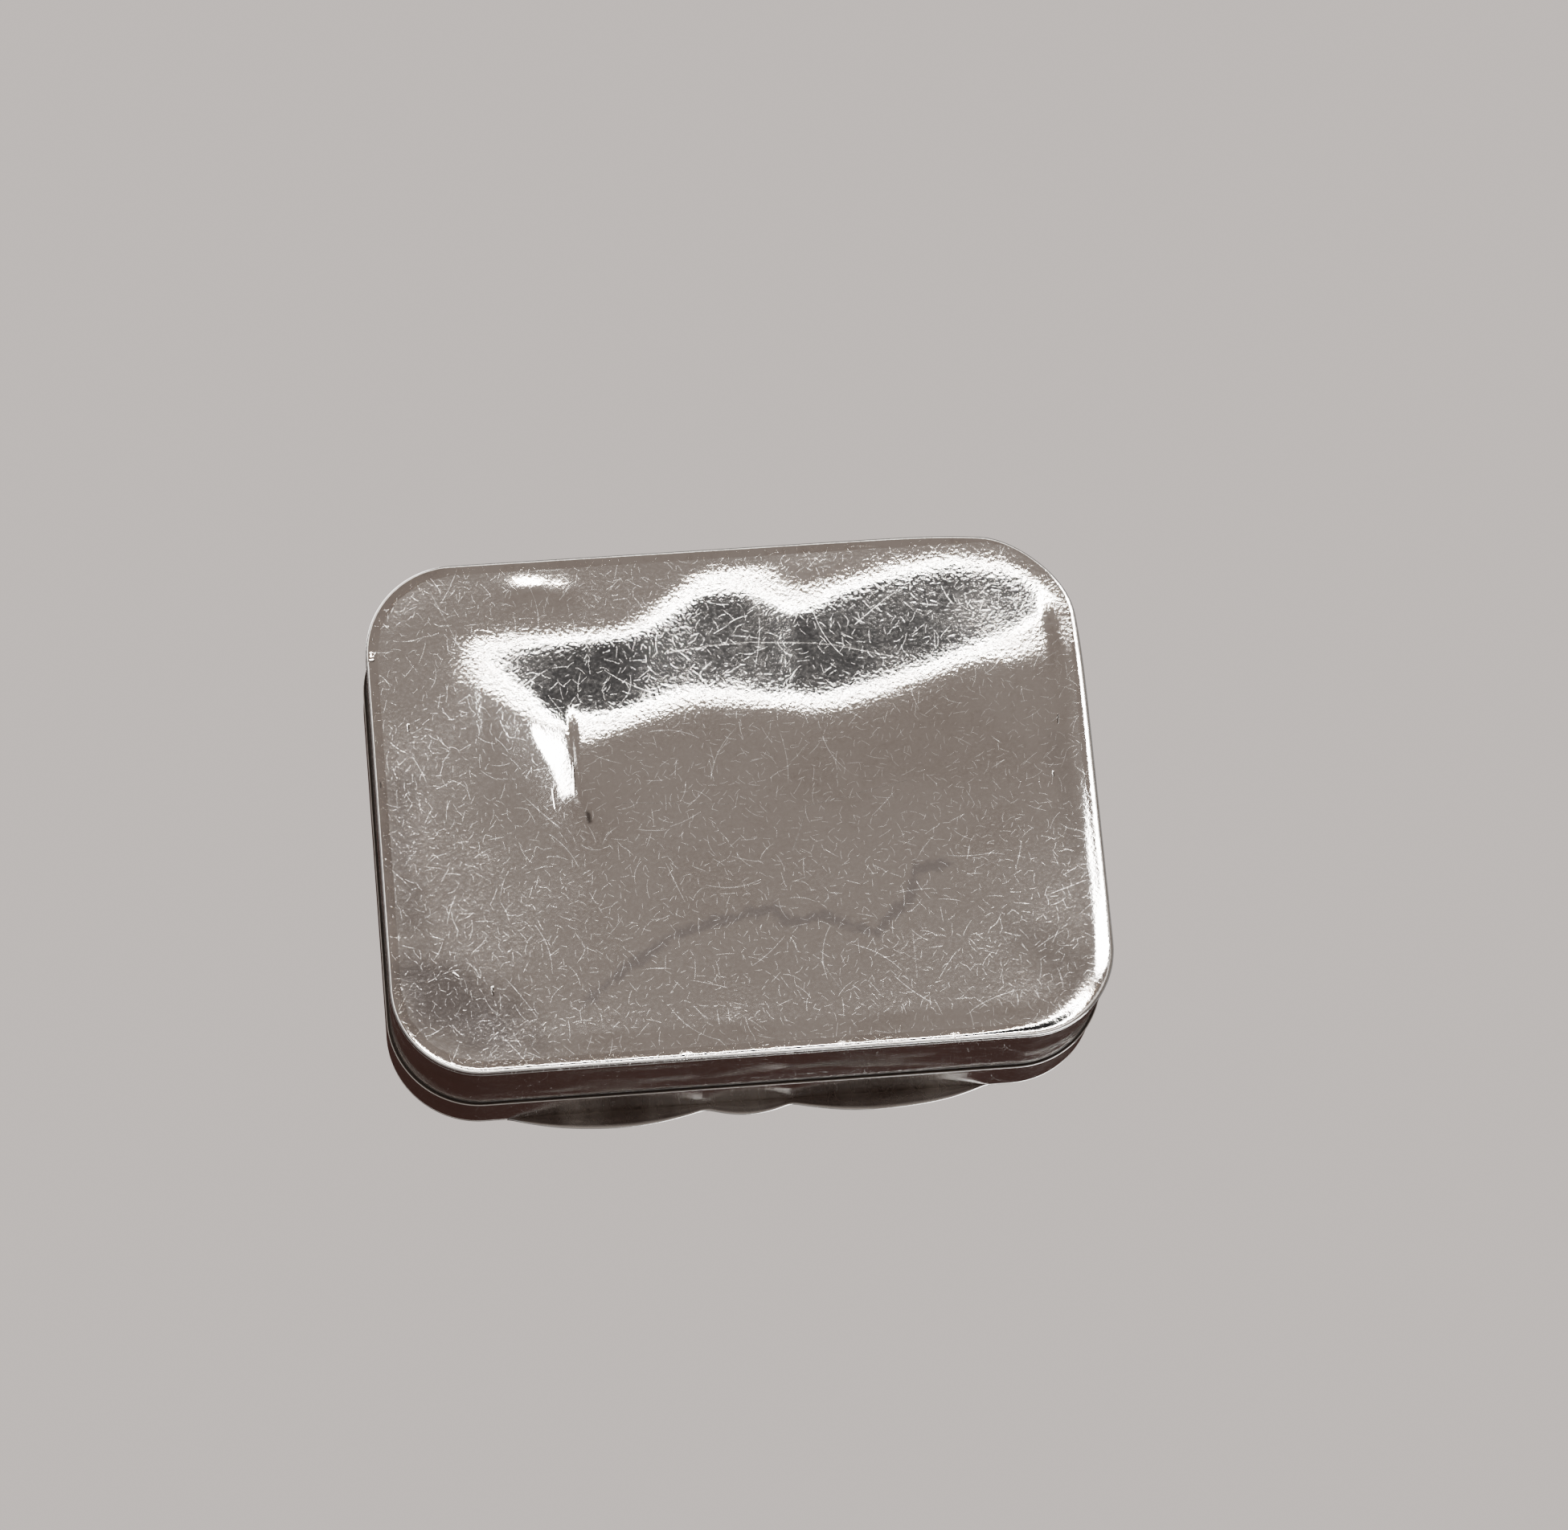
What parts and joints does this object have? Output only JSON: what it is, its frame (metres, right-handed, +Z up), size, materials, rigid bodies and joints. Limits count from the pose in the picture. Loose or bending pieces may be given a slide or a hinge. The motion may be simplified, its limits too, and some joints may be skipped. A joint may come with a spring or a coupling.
{
  "type": "pill box",
  "caption": "Small oblong silver pill box with rounded corners, a knuckle-hinged lid and a shaped thumbpiece.",
  "frame": {"origin": "centre of the base plate's underside", "axes": "+X along the length, +Y from the thumbpiece at the front to the hinge at the back, +Z up through the lid"},
  "size_m": [0.0354, 0.0274, 0.0112],
  "materials": {
    "silver_base": "worn polished silver, scratched and dented",
    "silver_lid": "worn polished silver with tarnish in the chased lines",
    "silver_inside": "satin silver, lightly toned",
    "silver_hinge": "worn silver tube",
    "hinge_wire": "drawn silver wire"
  },
  "bodies": {
    "base": {"base_plate": "silver_base", "base_band": "silver_base", "base_bezel": "silver_inside", "base_hinge_leaf": "silver_inside", "base_knuckle_left": "silver_hinge", "base_knuckle_middle": "silver_hinge", "base_knuckle_right": "silver_hinge", "hinge_pin": "hinge_wire", "pin_plug_left": "silver_hinge", "pin_plug_right": "silver_hinge"},
    "lid": {"lid_band": "silver_lid", "lid_top": "silver_lid", "lid_hinge_leaf": "silver_inside", "lid_knuckle_left": "silver_hinge", "lid_knuckle_right": "silver_hinge", "thumbpiece": "silver_lid"}
  },
  "joints": [
    {"name": "lid_hinge", "type": "hinge", "parent": "base", "child": "lid", "pos_m": [0, 0.01285, 0.0067], "axis": [-1, 0, 0], "range_deg": [0, 110]}
  ]
}
